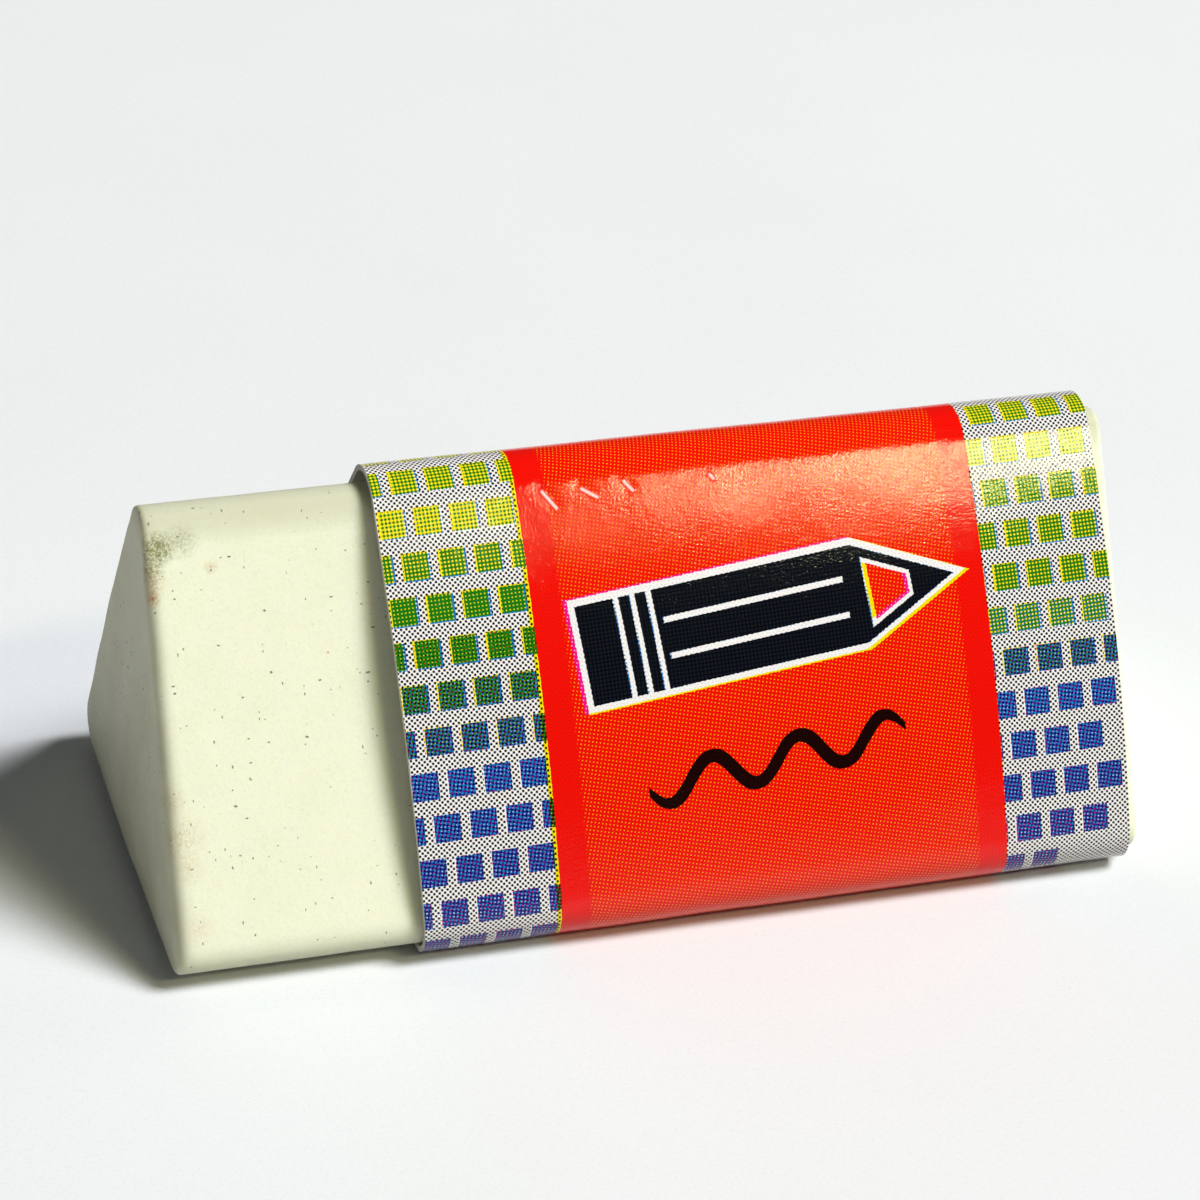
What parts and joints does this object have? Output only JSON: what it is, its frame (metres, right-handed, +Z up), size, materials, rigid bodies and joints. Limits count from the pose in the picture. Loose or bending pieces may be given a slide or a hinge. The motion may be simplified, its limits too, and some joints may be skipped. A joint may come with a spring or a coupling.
{
  "type": "eraser",
  "caption": "Block eraser of rounded triangular section, lying on one face, in a glossy printed paper sleeve that slides along it and leaves the rubbing end bare.",
  "frame": {"origin": "on the surface that the eraser lies on, under the middle of its bounding box", "axes": "+X along the length, from the bare rubbing end to the covered end; -Y is the side of the printed face; +Z up to the third corner of the triangle"},
  "size_m": [0.0441, 0.021, 0.019],
  "materials": {
    "soft_vinyl": "matte off-white soft vinyl, slightly yellow-green, with pencil dirt at the rubbing end",
    "printed_paper": "glossy laminated print, a red and orange panel between grey bands of small coloured squares",
    "dried_glue": "thin dried adhesive"
  },
  "bodies": {
    "block": {"eraser_block": "soft_vinyl"},
    "sleeve": {"paper_sleeve": "printed_paper", "seam_glue": "dried_glue"}
  },
  "joints": [
    {"name": "sleeve_slide", "type": "slide", "parent": "block", "child": "sleeve", "axis": [1, 0, 0], "range_m": [-0.0443, 0.0347]}
  ]
}
